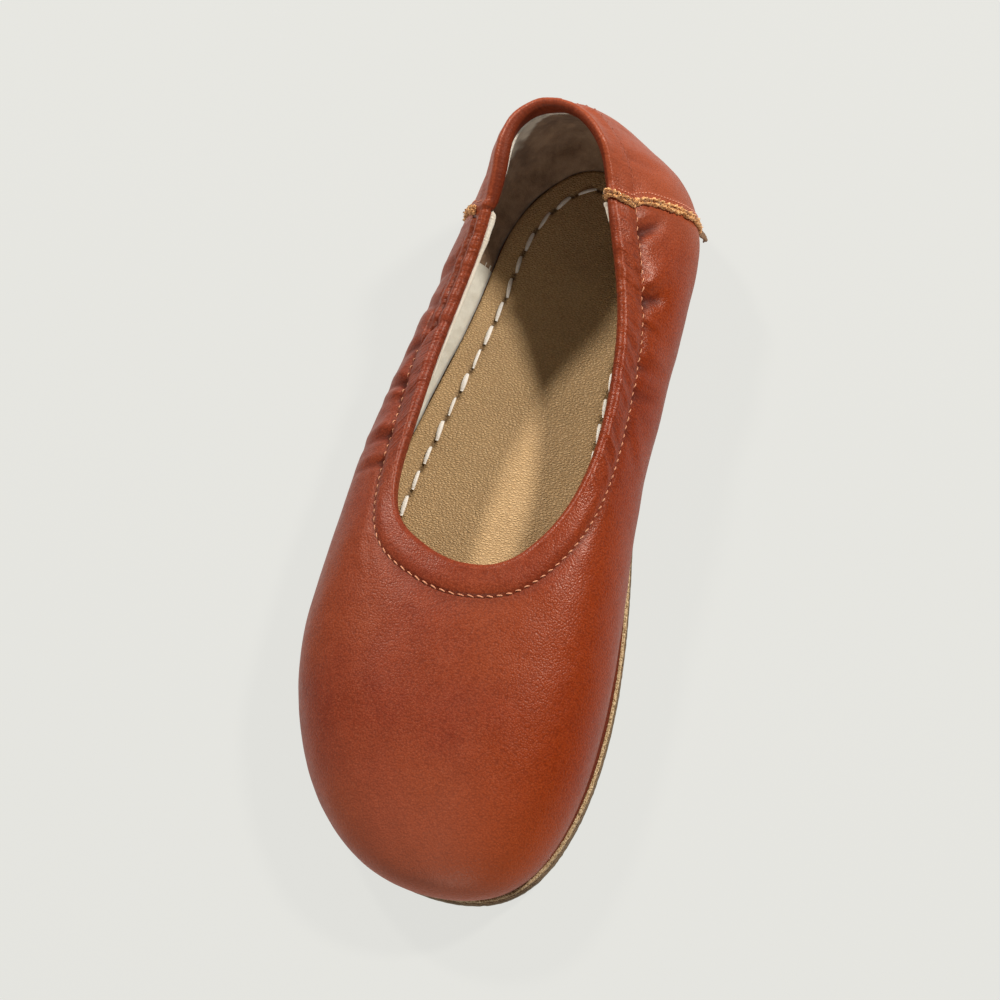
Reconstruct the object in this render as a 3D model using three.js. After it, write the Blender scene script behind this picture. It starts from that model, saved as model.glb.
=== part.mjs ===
import * as THREE from 'three';

// A right-foot barefoot flat: a thin two-layer sole, an insole, a hollow slip-on upper with a stitched
// collar hem, and a raised raw edge along each side seam.
// Millimetres, +Z up. The toe points along -Y and the inner side of the foot is +X.

// Driving dimensions
const SOLE_LENGTH = 248;
const BALL_WIDTH = 93.5;
const HEEL_HEIGHT = 58;
const OUTSOLE_THICK = 2.5;
const MIDSOLE_THICK = 3.2;
const INSOLE_THICK = 2;
const LAYER_GAP = 0.3;
const WALL_THICK = 2;
const HEM_WIDTH = 9;
const HEM_PUFF = 1;
const MARGIN_WIDTH = 8;
const UPPER_INSET = 1.2;
const OUTSOLE_LIP = 0.4;
const TOE_SPRING = 4;
const SPRING_LENGTH = 43;
const SEAM_WIDTH = 3.4;
const SEAM_THICK = 1.3;

// Heights of the layers above the floor
const MIDSOLE_BASE = OUTSOLE_THICK + LAYER_GAP;
const MIDSOLE_TOP = MIDSOLE_BASE + MIDSOLE_THICK;
const MARGIN_BASE = MIDSOLE_TOP + LAYER_GAP;
const MARGIN_TOP = MARGIN_BASE + WALL_THICK;
const INSOLE_BASE = MARGIN_TOP + LAYER_GAP;
const INSOLE_TOP = INSOLE_BASE + INSOLE_THICK;

// The last, as ribs that climb the wall from the sole's edge to the collar. A row for each rib, from the
// back of the heel along the inner side to the toe, and back along the outer side.
// Widths are percent of BALL_WIDTH, lengths from the heel percent of SOLE_LENGTH, heights percent of
// HEEL_HEIGHT. Bulge and rise lead the rib away from the edge, reach and fall lead it into the collar.
const RIB_COLUMNS = [
  'edgeAcross', 'edgeAlong', 'topAcross', 'topAlong', 'topUp', 'bulge', 'rise', 'reach', 'fall',
];
const RIBS = [
  [4.5, 0.2, -8, 6.5, 101, 6.5, 45, 6, 28],
  [28, 5.2, 7.5, 9.5, 97, 11.5, 42, 10, 25],
  [36.5, 16.3, 15.5, 15.8, 85.5, 19.5, 38, 16, 19],
  [38, 29.8, 26, 28.6, 73.5, 12, 34, 9.5, 16],
  [40.5, 45.4, 31.5, 41.9, 67.5, 6.5, 33, 7.5, 14],
  [47.5, 61.1, 29.5, 53, 66, 2.5, 30, 15, 8],
  [51.5, 76, 23, 60.5, 66.5, 2, 29, 26, 4],
  [48, 89.5, 13.5, 64.4, 67.5, 4.5, 30, 35, 2],
  [32, 99.2, 4, 65.7, 68.5, 8.5, 34, 43, 2],
  [-1, 99.8, -5, 65.7, 69, 18, 34, 44, 2],
  [-30, 92.6, -15, 64.3, 68, 12, 34, 38, 2],
  [-44.5, 79.2, -25, 61.3, 66.5, 7, 30, 27, 3],
  [-47.5, 66.3, -29.5, 55, 65.5, 6, 29, 16, 5],
  [-44.5, 51.8, -30, 46.2, 65.5, 5, 30, 9, 10],
  [-38.5, 37.3, -29, 36.5, 67.5, 7.5, 31, 9, 14],
  [-33, 23.8, -25, 24, 77.5, 9.5, 35, 9, 19],
  [-29, 11.9, -22, 14.2, 93, 9, 40, 9.5, 21],
  [-15, 2.8, -17, 7.8, 100, 7, 44, 9, 23],
];

// Where the side seams run, as rib numbers at the collar and at the sole
const SEAMS = {
  medial: { collar: 2, sole: 1.55 },
  lateral: { collar: 15.33, sole: 15.65 },
};

// Fineness of the meshes
const RIBS_AROUND = 108;
const PLATE_STATIONS = 56;
const OUTLINE_POINTS = 540;
const SEAM_STATIONS = 14;

const UP = new THREE.Vector3(0, 0, 1);

function splineBends(values) {
  // Second differences of a closed cubic spline, found by relaxation.
  const count = values.length;
  const bends = values.map(() => 0);
  for (let pass = 0; pass < 60; pass += 1) {
    for (let i = 0; i < count; i += 1) {
      const before = (i + count - 1) % count;
      const after = (i + 1) % count;
      const turn = values[before] - 2 * values[i] + values[after];
      bends[i] = (6 * turn - bends[before] - bends[after]) / 4;
    }
  }
  return bends;
}

const ribValues = RIB_COLUMNS.map((name, column) => RIBS.map((row) => row[column]));
const ribBends = ribValues.map(splineBends);

function ribNumbers(around) {
  // The table's columns at any place between its rows.
  const count = RIBS.length;
  const place = ((around % count) + count) % count;
  const row = Math.floor(place) % count;
  const next = (row + 1) % count;
  const t = place - Math.floor(place);
  const numbers = {};
  RIB_COLUMNS.forEach((name, column) => {
    const values = ribValues[column];
    const bends = ribBends[column];
    const straight = values[row] * (1 - t) + values[next] * t;
    numbers[name] = straight - (t * (1 - t) / 6) * (bends[row] * (2 - t) + bends[next] * (1 + t));
  });
  return numbers;
}

const across = (percent) => (percent * BALL_WIDTH) / 100;
const along = (percent) => SOLE_LENGTH * (0.5 - percent / 100);
const up = (percent) => (percent * HEEL_HEIGHT) / 100;

function springHeight(y) {
  // The toe's lift from the floor, growing as a parabola over the last stretch.
  const start = SPRING_LENGTH - SOLE_LENGTH / 2;
  const run = Math.max((start - y) / SPRING_LENGTH, 0);
  return TOE_SPRING * run * run;
}

function edgePoint(around) {
  const rib = ribNumbers(around);
  return new THREE.Vector3(across(rib.edgeAcross), along(rib.edgeAlong), 0);
}

function edgeOutward(around) {
  // The ribs are counted clockwise seen from above, so outward is to the left of travel.
  const step = 0.001;
  const travel = edgePoint(around + step).sub(edgePoint(around - step));
  return new THREE.Vector3(-travel.y, travel.x, 0).normalize();
}

function edgeInset(around, inset, height) {
  // A point on the sole's outline moved inward, at a height above the spring line.
  const point = edgePoint(around).addScaledVector(edgeOutward(around), -inset);
  point.z = height + springHeight(point.y);
  return point;
}

function ribCurve(around) {
  // The middle of the wall, from the sole's edge up to the collar.
  const rib = ribNumbers(around);
  const outward = edgeOutward(around);
  const foot = edgeInset(around, UPPER_INSET, MARGIN_BASE + WALL_THICK / 2);
  const top = new THREE.Vector3(across(rib.topAcross), along(rib.topAlong), up(rib.topUp));
  const lean = foot.clone().sub(top).setZ(0).normalize();
  const low = foot.clone().addScaledVector(outward, across(rib.bulge)).addScaledVector(UP, up(rib.rise));
  const high = top.clone().addScaledVector(lean, across(rib.reach)).addScaledVector(UP, -up(rib.fall));
  const curve = new THREE.CubicBezierCurve3(foot, low, high, top);
  curve.arcLengthDivisions = 96;
  return curve;
}

function pointAlong(curve, distance) {
  return curve.getPointAt(THREE.MathUtils.clamp(distance / curve.getLength(), 0, 1));
}

function placeOnRib(curve, level) {
  // Level runs from 0 at the sole to 1 at the hem's stitch line and 2 at the collar.
  const body = curve.getLength() - HEM_WIDTH;
  return level <= 1 ? level * body : body + (level - 1) * HEM_WIDTH;
}

function wallFrame(around, level) {
  // A point on the middle of the wall, the way outward there, and the way up the rib.
  const curve = ribCurve(around);
  const reach = placeOnRib(curve, level);
  const slack = 0.4;
  const low = Math.max(reach - slack, 0);
  const high = Math.min(reach + slack, curve.getLength());
  const rise = pointAlong(curve, high).sub(pointAlong(curve, low)).normalize();
  const beside = [around - 0.02, around + 0.02].map((place) => {
    const neighbour = ribCurve(place);
    return pointAlong(neighbour, placeOnRib(neighbour, level));
  });
  const travel = beside[1].sub(beside[0]).normalize();
  const outward = new THREE.Vector3().crossVectors(rise, travel).normalize();
  return { point: pointAlong(curve, reach), outward, rise, travel };
}

function hemThickening(level) {
  // The hem starts at the stitch line and is at its full thickness a sixth of its width further up.
  return HEM_PUFF * THREE.MathUtils.smoothstep(level, 1, 1.3);
}

function wallPoint(around, level, side, extra = 0) {
  // A point on the wall's outer face (side 1) or inner face (side -1), moved out by extra.
  const { point, outward } = wallFrame(around, level);
  const half = WALL_THICK / 2 + hemThickening(level) + extra;
  return point.addScaledVector(outward, side * half);
}

function rimPoints(around) {
  // The collar's rounded rim, from the outer face over the top to the inner face.
  const { point, outward, rise } = wallFrame(around, 2);
  const radius = WALL_THICK / 2 + HEM_PUFF;
  return [36, 72, 108, 144].map((degrees) => {
    const turn = THREE.MathUtils.degToRad(degrees);
    return point.clone()
      .addScaledVector(outward, radius * Math.cos(turn))
      .addScaledVector(rise, radius * Math.sin(turn));
  });
}

function gridGeometry(rings, triangles) {
  const positions = rings.flat().flatMap((point) => point.toArray());
  const geometry = new THREE.BufferGeometry();
  geometry.setAttribute('position', new THREE.Float32BufferAttribute(positions, 3));
  geometry.setIndex(triangles.flat());
  geometry.computeVertexNormals();
  return geometry;
}

function strip(ringA, ringB, size) {
  // The faces between two closed rings, given by the number of each ring's first point.
  const faces = [];
  for (let i = 0; i < size; i += 1) {
    const j = (i + 1) % size;
    faces.push([ringA + i, ringA + j, ringB + j], [ringA + i, ringB + j, ringB + i]);
  }
  return faces;
}

function upperGeometry() {
  // Each rib's section is a closed loop, and the loops close around the shoe.
  const outerLevels = [0, 0.06, 0.14, 0.24, 0.34, 0.44, 0.54, 0.64, 0.74, 0.84, 0.93, 1, 1.3, 1.65, 2];
  const innerLevels = [2, 1.6, 1.25, 1, 0.88, 0.74, 0.6, 0.46, 0.32, 0.2, 0.1];
  const lowestInside = 0.05;
  const rings = [];
  const count = RIBS_AROUND;
  for (let k = 0; k < count; k += 1) {
    const around = (k * RIBS.length) / count;
    rings.push([
      edgeInset(around, UPPER_INSET + MARGIN_WIDTH, MARGIN_BASE),
      edgeInset(around, UPPER_INSET + MARGIN_WIDTH / 2, MARGIN_BASE),
      edgeInset(around, UPPER_INSET - 0.3, MARGIN_BASE),
      ...outerLevels.map((level) => wallPoint(around, level, 1)),
      ...rimPoints(around),
      ...innerLevels.map((level) => wallPoint(around, level, -1)),
      wallPoint(around, lowestInside, -1),
      edgeInset(around, UPPER_INSET + 1.3, MARGIN_TOP),
      edgeInset(around, UPPER_INSET + MARGIN_WIDTH / 2, MARGIN_TOP),
      edgeInset(around, UPPER_INSET + MARGIN_WIDTH, MARGIN_TOP),
    ]);
  }
  const size = rings[0].length;
  const faces = rings.map((ring, k) => strip(k * size, ((k + 1) % count) * size, size));
  return gridGeometry(rings, faces.flat());
}

function outlineCrossings(inset) {
  // The outline as pairs of points at the same distance along the shoe, closer together at both ends.
  const outline = [];
  for (let k = 0; k < OUTLINE_POINTS; k += 1) {
    outline.push(edgeInset((k * RIBS.length) / OUTLINE_POINTS, inset, 0));
  }
  const byLength = [...outline].sort((a, b) => a.y - b.y);
  const toe = byLength[0];
  const heel = byLength[byLength.length - 1];
  const pairs = [];
  for (let station = 1; station < PLATE_STATIONS; station += 1) {
    const share = (1 - Math.cos((Math.PI * station) / PLATE_STATIONS)) / 2;
    const y = toe.y + share * (heel.y - toe.y);
    const found = [];
    outline.forEach((point, k) => {
      const next = outline[(k + 1) % OUTLINE_POINTS];
      if ((point.y - y) * (next.y - y) <= 0 && point.y !== next.y) {
        found.push(THREE.MathUtils.mapLinear(y, point.y, next.y, point.x, next.x));
      }
    });
    pairs.push({ y, outer: Math.min(...found), inner: Math.max(...found) });
  }
  return { toe, heel, pairs };
}

function plateRing(inset, height) {
  // One closed ring of a flat layer: toe, inner side, heel, outer side.
  const { toe, heel, pairs } = outlineCrossings(inset);
  const raised = (x, y) => new THREE.Vector3(x, y, height + springHeight(y));
  return [
    raised(toe.x, toe.y),
    ...pairs.map((pair) => raised(pair.inner, pair.y)),
    raised(heel.x, heel.y),
    ...pairs.reverse().map((pair) => raised(pair.outer, pair.y)),
  ];
}

function plateCap(first, facesUp) {
  // A lid across one ring, in steps that each lie at one distance along the shoe.
  const size = 2 * PLATE_STATIONS;
  const faces = [];
  for (let k = 0; k < PLATE_STATIONS; k += 1) {
    const inner = [k, k + 1];
    const outer = [(size - k) % size, size - k - 1];
    if (k > 0) {
      faces.push([inner[0], inner[1], outer[0]]);
    }
    if (k < PLATE_STATIONS - 1) {
      faces.push([inner[1], outer[1], outer[0]]);
    }
  }
  return faces.map((face) => (facesUp ? face : face.reverse()).map((corner) => corner + first));
}

function plateGeometry(layers) {
  // A layer of the sole, from its lowest ring to its highest.
  const rings = layers.map(({ inset, height }) => plateRing(inset, height));
  const size = 2 * PLATE_STATIONS;
  const walls = layers.slice(1).flatMap((layer, k) => strip(k * size, (k + 1) * size, size));
  const lids = [...plateCap(0, false), ...plateCap((layers.length - 1) * size, true)];
  return gridGeometry(rings, [...walls, ...lids]);
}

function outsoleGeometry() {
  return plateGeometry([
    { inset: 0.4, height: 0 },
    { inset: -OUTSOLE_LIP, height: 0.7 },
    { inset: -OUTSOLE_LIP, height: OUTSOLE_THICK },
  ]);
}

function midsoleGeometry() {
  return plateGeometry([
    { inset: 0, height: MIDSOLE_BASE },
    { inset: 0, height: MIDSOLE_TOP - 0.5 },
    { inset: 0.4, height: MIDSOLE_TOP },
  ]);
}

function insoleGeometry() {
  // The rim lies on the lasting margin, and the core fills the space inside it.
  const coreInset = UPPER_INSET + MARGIN_WIDTH + 2 * LAYER_GAP;
  const rimInset = UPPER_INSET + 2;
  return plateGeometry([
    { inset: coreInset, height: MARGIN_BASE },
    { inset: coreInset, height: INSOLE_BASE },
    { inset: rimInset, height: INSOLE_BASE },
    { inset: rimInset, height: INSOLE_TOP - 0.4 },
    { inset: rimInset + 0.5, height: INSOLE_TOP },
  ]);
}

function seamGeometry({ collar, sole }) {
  // A rounded strip that follows the wall's own outer face from just above the sole to the collar's rim.
  const profile = [
    { sideways: -1, depth: 0 },
    { sideways: -0.8, depth: 0.75 },
    { sideways: 0, depth: 1 },
    { sideways: 0.8, depth: 0.75 },
    { sideways: 1, depth: 0 },
  ];
  const rings = [];
  for (let station = 0; station <= SEAM_STATIONS; station += 1) {
    const share = station / SEAM_STATIONS;
    const level = THREE.MathUtils.lerp(0.06, 1.97, share);
    const around = THREE.MathUtils.lerp(sole, collar, Math.min(share * 1.1, 1));
    const { travel } = wallFrame(around, level);
    rings.push(profile.map(({ sideways, depth }) => (
      wallPoint(around, level, 1, LAYER_GAP + depth * SEAM_THICK)
        .addScaledVector(travel, (sideways * SEAM_WIDTH) / 2)
    )));
  }
  const size = profile.length;
  const walls = rings.slice(1).flatMap((ring, k) => strip((k + 1) * size, k * size, size));
  const last = SEAM_STATIONS * size;
  const ends = [];
  for (let k = 1; k < size - 1; k += 1) {
    ends.push([0, k, k + 1], [last, last + k + 1, last + k]);
  }
  return gridGeometry(rings, [...walls, ...ends]);
}

const LEATHER = new THREE.MeshStandardMaterial({ color: 0x9a4a2c, roughness: 0.5, metalness: 0 });
const RAW_EDGE = new THREE.MeshStandardMaterial({ color: 0xb9783f, roughness: 0.9, metalness: 0 });
const SOCK_LEATHER = new THREE.MeshStandardMaterial({ color: 0xb39b6b, roughness: 0.8, metalness: 0 });
const SOLE_LEATHER = new THREE.MeshStandardMaterial({ color: 0xa98a5e, roughness: 0.9, metalness: 0 });
const SOLE_RUBBER = new THREE.MeshStandardMaterial({ color: 0x3b322b, roughness: 0.9, metalness: 0 });

function namedMesh(name, geometry, material) {
  const mesh = new THREE.Mesh(geometry, material);
  mesh.name = name;
  return mesh;
}

const shoe = new THREE.Group();
shoe.add(
  namedMesh('outsole', outsoleGeometry(), SOLE_RUBBER),
  namedMesh('midsole', midsoleGeometry(), SOLE_LEATHER),
  namedMesh('insole', insoleGeometry(), SOCK_LEATHER),
  namedMesh('upper', upperGeometry(), LEATHER),
  namedMesh('seam_edge_medial', seamGeometry(SEAMS.medial), RAW_EDGE),
  namedMesh('seam_edge_lateral', seamGeometry(SEAMS.lateral), RAW_EDGE),
);

// The origin is the middle of the shoe's box, on the floor.
const box = new THREE.Box3().setFromObject(shoe, true);
const middle = box.getCenter(new THREE.Vector3());
shoe.position.set(-middle.x, -middle.y, -box.min.z);

export default shoe;
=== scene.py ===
import math

import bpy
import numpy as np
from mathutils import Matrix, Vector
from mathutils.kdtree import KDTree


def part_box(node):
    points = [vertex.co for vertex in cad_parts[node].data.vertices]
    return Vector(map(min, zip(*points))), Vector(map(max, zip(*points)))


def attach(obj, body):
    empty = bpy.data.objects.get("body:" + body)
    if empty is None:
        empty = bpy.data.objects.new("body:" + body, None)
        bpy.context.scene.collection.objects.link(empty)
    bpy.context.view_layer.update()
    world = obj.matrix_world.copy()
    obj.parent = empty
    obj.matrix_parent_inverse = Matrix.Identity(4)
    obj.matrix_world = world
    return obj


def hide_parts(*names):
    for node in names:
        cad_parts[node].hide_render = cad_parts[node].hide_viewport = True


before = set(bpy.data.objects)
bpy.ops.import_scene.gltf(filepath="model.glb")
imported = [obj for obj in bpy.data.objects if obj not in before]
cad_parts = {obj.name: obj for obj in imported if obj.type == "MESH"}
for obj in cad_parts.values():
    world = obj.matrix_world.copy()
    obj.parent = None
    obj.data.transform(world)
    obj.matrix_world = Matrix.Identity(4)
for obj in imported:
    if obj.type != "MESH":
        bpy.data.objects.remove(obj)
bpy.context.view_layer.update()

# A right-foot barefoot flat. The toe points along -Y and the inner side of the foot is +X.
# Every length is in metres.

MM = 0.001
UP = np.array([0, 0, 1.0])

# Driving dimensions, the same as the solids'
SOLE_LENGTH = 248 * MM
BALL_WIDTH = 93.5 * MM
HEEL_HEIGHT = 58 * MM
OUTSOLE_THICK = 2.5 * MM
MIDSOLE_THICK = 3.2 * MM
INSOLE_THICK = 2 * MM
LAYER_GAP = 0.3 * MM
WALL_THICK = 2 * MM
HEM_PUFF = 1 * MM
MARGIN_WIDTH = 8 * MM
UPPER_INSET = 1.2 * MM
OUTSOLE_LIP = 0.4 * MM
TOE_SPRING = 4 * MM
SPRING_LENGTH = 43 * MM

# Heights of the layers above the floor
MIDSOLE_BASE = OUTSOLE_THICK + LAYER_GAP
MIDSOLE_TOP = MIDSOLE_BASE + MIDSOLE_THICK
MARGIN_BASE = MIDSOLE_TOP + LAYER_GAP
MARGIN_TOP = MARGIN_BASE + WALL_THICK
INSOLE_BASE = MARGIN_TOP + LAYER_GAP
INSOLE_TOP = INSOLE_BASE + INSOLE_THICK

# Details that only the finish has. Its hem is narrower than the solid's, as a closer look showed.
HALF_WALL = WALL_THICK / 2
HEM_WIDTH = 7.9 * MM
HEM_STITCH_PITCH = 2.75 * MM
SEAM_STITCH_PITCH = 1.15 * MM
SEAM_ALLOWANCE = 2.8 * MM
SOCK_INSET = UPPER_INSET + 4.4 * MM
SOCK_STITCH_PITCH = 9 * MM
SOCK_STITCH_LENGTH = 6.7 * MM
SOCK_STITCH_INSET = 7.2 * MM
LINING_FIBRES = 1400
SEAM_FIBRES = 1300
MIDSOLE_FIBRES = 2400

# The last, as ribs that climb the wall from the sole's edge to the collar. A row for each rib, from the
# back of the heel along the inner side to the toe, and back along the outer side.
# Widths are percent of BALL_WIDTH, lengths from the heel percent of SOLE_LENGTH, heights percent of
# HEEL_HEIGHT. Bulge and rise lead the rib away from the edge, reach and fall lead it into the collar.
RIB_COLUMNS = ("edge_across", "edge_along", "top_across", "top_along", "top_up",
               "bulge", "rise", "reach", "fall")
RIBS = (
    (4.5, 0.2, -8, 6.5, 101, 6.5, 45, 6, 28),
    (28, 5.2, 7.5, 9.5, 97, 11.5, 42, 10, 25),
    (36.5, 16.3, 15.5, 15.8, 85.5, 19.5, 38, 16, 19),
    (38, 29.8, 26, 28.6, 73.5, 12, 34, 9.5, 16),
    (40.5, 45.4, 31.5, 41.9, 67.5, 6.5, 33, 7.5, 14),
    (47.5, 61.1, 29.5, 53, 66, 2.5, 30, 15, 8),
    (51.5, 76, 23, 60.5, 66.5, 2, 29, 26, 4),
    (48, 89.5, 13.5, 64.4, 67.5, 4.5, 30, 35, 2),
    (32, 99.2, 4, 65.7, 68.5, 8.5, 34, 43, 2),
    (-1, 99.8, -5, 65.7, 69, 18, 34, 44, 2),
    (-30, 92.6, -15, 64.3, 68, 12, 34, 38, 2),
    (-44.5, 79.2, -25, 61.3, 66.5, 7, 30, 27, 3),
    (-47.5, 66.3, -29.5, 55, 65.5, 6, 29, 16, 5),
    (-44.5, 51.8, -30, 46.2, 65.5, 5, 30, 9, 10),
    (-38.5, 37.3, -29, 36.5, 67.5, 7.5, 31, 9, 14),
    (-33, 23.8, -25, 24, 77.5, 9.5, 35, 9, 19),
    (-29, 11.9, -22, 14.2, 93, 9, 40, 9.5, 21),
    (-15, 2.8, -17, 7.8, 100, 7, 44, 9, 23),
)
RIB_COUNT = len(RIBS)

# Where the side seams run, as rib numbers at the collar and at the sole. The heel piece lies to the
# side that heelward gives.
SEAMS = {
    "medial": {"collar": 2, "sole": 1.55, "heelward": -1},
    "lateral": {"collar": 15.33, "sole": 15.65, "heelward": 1},
}
SEAM_FOOT = 0.06
SEAM_TOP = 1.97

# How the worn collar has eased from the last: rib, sideways, lengthways and upward millimetres, and
# the half-width in ribs
COLLAR_SHIFTS = (
    (16.5, -3.0, 0, 0, 0.75),
    (0.35, 0.8, 1.6, 0, 0.6),
    (3.0, 0.8, 0, 0, 0.6),
    (6.1, -0.9, 0.3, 0, 0.8),
)

# How the worn wall has eased: rib, level, outward millimetres, half-width in ribs and in levels
WALL_SHIFTS = (
    (0.35, 1.0, 2.0, 0.5, 0.4),
    (0.8, 0.45, -1.3, 0.4, 0.3),
    (3.5, 0.4, 2.2, 0.9, 0.4),
    (6.0, 0.0, -1.5, 1.7, 0.2),
    (9.7, 0.15, -1.9, 0.7, 0.25),
    (11.0, 0.3, 1.0, 0.6, 0.3),
    (13.2, 0.6, 2.5, 1.0, 0.4),
    (15.85, 0.85, -1.8, 0.45, 0.35),
)

# Soft troughs in the leather: rib and level of each end, depth and half-width in millimetres
CREASES = (
    (2.24, 0.98, 1.98, 0.78, 0.9, 2.4),
    (2.83, 0.98, 2.70, 0.76, 1.05, 2.8),
    (2.70, 0.84, 2.38, 0.58, 0.4, 2.8),
    (3.05, 0.98, 3.04, 0.80, 0.4, 1.4),
    (3.40, 1.00, 3.28, 0.60, 0.4, 2.2),
    (3.66, 1.00, 3.50, 0.56, 0.5, 2.6),
    (3.98, 0.98, 4.20, 0.68, 0.25, 2.2),
    (14.80, 0.98, 14.70, 0.60, 0.7, 2.2),
    (14.40, 0.99, 14.45, 0.60, 0.7, 2.0),
    (13.98, 0.99, 13.90, 0.70, 0.7, 1.9),
    (13.50, 0.99, 13.60, 0.60, 1.0, 1.8),
    (13.30, 0.98, 13.42, 0.60, 0.5, 1.5),
    (12.80, 0.99, 12.98, 0.50, 1.0, 1.9),
    (12.42, 0.98, 12.66, 0.54, 0.7, 1.7),
    (11.22, 0.92, 10.72, 0.88, 0.14, 1.8),
    (11.42, 0.80, 10.80, 0.78, 0.10, 2.0),
    (0.55, 0.95, 0.80, 0.56, 0.25, 2.8),
    (1.25, 0.97, 1.32, 0.64, 0.3, 2.4),
)

# Soft swells between the troughs: rib, level, height and radius in millimetres
SWELLS = (
    (2.50, 0.80, 1.1, 8.0),
    (3.20, 0.84, 0.4, 4.5),
    (14.95, 0.75, 0.7, 7.0),
    (14.25, 0.88, 0.9, 5.0),
    (13.72, 0.88, 0.6, 3.0),
    (13.40, 0.86, 0.5, 3.0),
    (13.05, 0.86, 0.7, 3.0),
)

# The set: the camera, and each lamp's place, width in metres, watts and colour
CAMERA_PLACE = (0.1090, -0.2229, 0.5417)
CAMERA_UP = (-0.198, 0.892, 0.407)
CAMERA_AIM = (-0.002, -0.004, 0.014)
CAMERA_LENS = 69
LAMP_AIM = (0, 0, 0.02)
LAMP_UP = (0.1, 0.9, 0.1)
LAMPS = {
    "inner_lamp": ((0.66, 0.66, 0.97), 0.16, 17.5, (1.0, 0.965, 0.92)),
    "outer_lamp": ((-0.78, 0.64, 0.96), 0.16, 15.0, (1.0, 0.965, 0.92)),
    "front_lamp": ((0.20, -1.25, 0.34), 0.40, 4.0, (1.0, 0.95, 0.92)),
}
FLOOR_REACH = 4.0

rng = np.random.default_rng(36)


def smoothstep(value, low, high):
    share = np.clip((value - low) / (high - low), 0, 1)
    return share * share * (3 - 2 * share)


def between(value, outer_low, low, high, outer_high):
    """1 between low and high, 0 outside the outer pair, and soft in between."""
    return smoothstep(value, outer_low, low) * (1 - smoothstep(value, high, outer_high))


def bell(value, width):
    """1 at zero, fading to both sides over about that width."""
    return np.exp(-(value / width) ** 2)


def wobble(value, seed, waves=5):
    """A smooth random line through value, about -1 to 1, with a bump every unit or so."""
    source = np.random.default_rng(seed)
    total = np.zeros_like(np.asarray(value, float))
    for _ in range(waves):
        total += np.sin(value * source.uniform(2.2, 6.3) + source.uniform(0, 2 * math.pi))
    return total / math.sqrt(waves * 2)


def lumps(points, size, seed, waves=9):
    """A smooth random field in space, about -1 to 1, with lumps of about that size."""
    source = np.random.default_rng(seed)
    total = np.zeros(points.shape[:-1])
    for _ in range(waves):
        direction = source.normal(size=3)
        direction *= source.uniform(0.7, 1.5) * math.pi / size / np.linalg.norm(direction)
        total += np.sin(points @ direction + source.uniform(0, 2 * math.pi))
    return total / math.sqrt(waves / 2)


def pleats(along, pitch, drift, length, seed, slant=0.0):
    """Waves along the hem at a pitch, which drift from it over a length."""
    return np.sin(2 * math.pi * along / pitch + drift * wobble(along / length, seed) + slant)


def unit(vectors):
    return vectors / np.maximum(np.linalg.norm(vectors, axis=-1, keepdims=True), 1e-12)


def running_length(points):
    pace = np.linalg.norm(np.diff(points, axis=0), axis=1)
    return np.concatenate([[0], np.cumsum(pace)])


# The last's own surface

def spline_bends(values):
    """Second differences of a closed cubic spline through the rows of a table."""
    one = np.eye(len(values))
    ring = 4 * one + np.roll(one, 1, 0) + np.roll(one, -1, 0)
    return np.linalg.solve(ring, 6 * (np.roll(values, 1, 0) - 2 * values + np.roll(values, -1, 0)))


RIB_VALUES = np.array(RIBS, float)
RIB_BENDS = spline_bends(RIB_VALUES)


def rib_numbers(around):
    """The table's columns at any places between its rows."""
    place = np.mod(around, RIB_COUNT)
    row = np.floor(place).astype(int) % RIB_COUNT
    after = (row + 1) % RIB_COUNT
    t = (place - np.floor(place))[..., None]
    straight = RIB_VALUES[row] * (1 - t) + RIB_VALUES[after] * t
    bend = t * (1 - t) / 6 * (RIB_BENDS[row] * (2 - t) + RIB_BENDS[after] * (1 + t))
    return dict(zip(RIB_COLUMNS, np.moveaxis(straight - bend, -1, 0)))


def sideways(percent):
    return percent / 100 * BALL_WIDTH


def lengthways(percent):
    return (0.5 - percent / 100) * SOLE_LENGTH


def upwards(percent):
    return percent / 100 * HEEL_HEIGHT


def spring_height(y):
    """The toe's lift from the floor, growing as a parabola over the last stretch."""
    run = np.maximum((SPRING_LENGTH - SOLE_LENGTH / 2 - y) / SPRING_LENGTH, 0)
    return TOE_SPRING * run * run


def edge_flat(around):
    rib = rib_numbers(around)
    x = sideways(rib["edge_across"])
    return np.stack([x, lengthways(rib["edge_along"]), np.zeros_like(x)], -1)


def edge_outward(around):
    travel = edge_flat(around + 0.001) - edge_flat(around - 0.001)
    return unit(np.stack([-travel[..., 1], travel[..., 0], np.zeros(travel.shape[:-1])], -1))


def edge_inset(around, inset, height=0.0):
    """Points of the sole's outline moved inward, at a height above the spring line."""
    points = edge_flat(around) - edge_outward(around) * np.asarray(inset)[..., None]
    points[..., 2] = height + spring_height(points[..., 1])
    return points


def outline(inset, count=2880):
    return edge_inset(np.linspace(0, RIB_COUNT, count, endpoint=False), inset)


def even_places(count):
    """That many places round the shoe, at even steps in ribs."""
    return np.arange(count) * RIB_COUNT / count


def rib_distance(around, rib_number):
    """How many ribs a place is past another, the short way round."""
    return np.mod(around - rib_number + RIB_COUNT / 2, RIB_COUNT) - RIB_COUNT / 2


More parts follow.
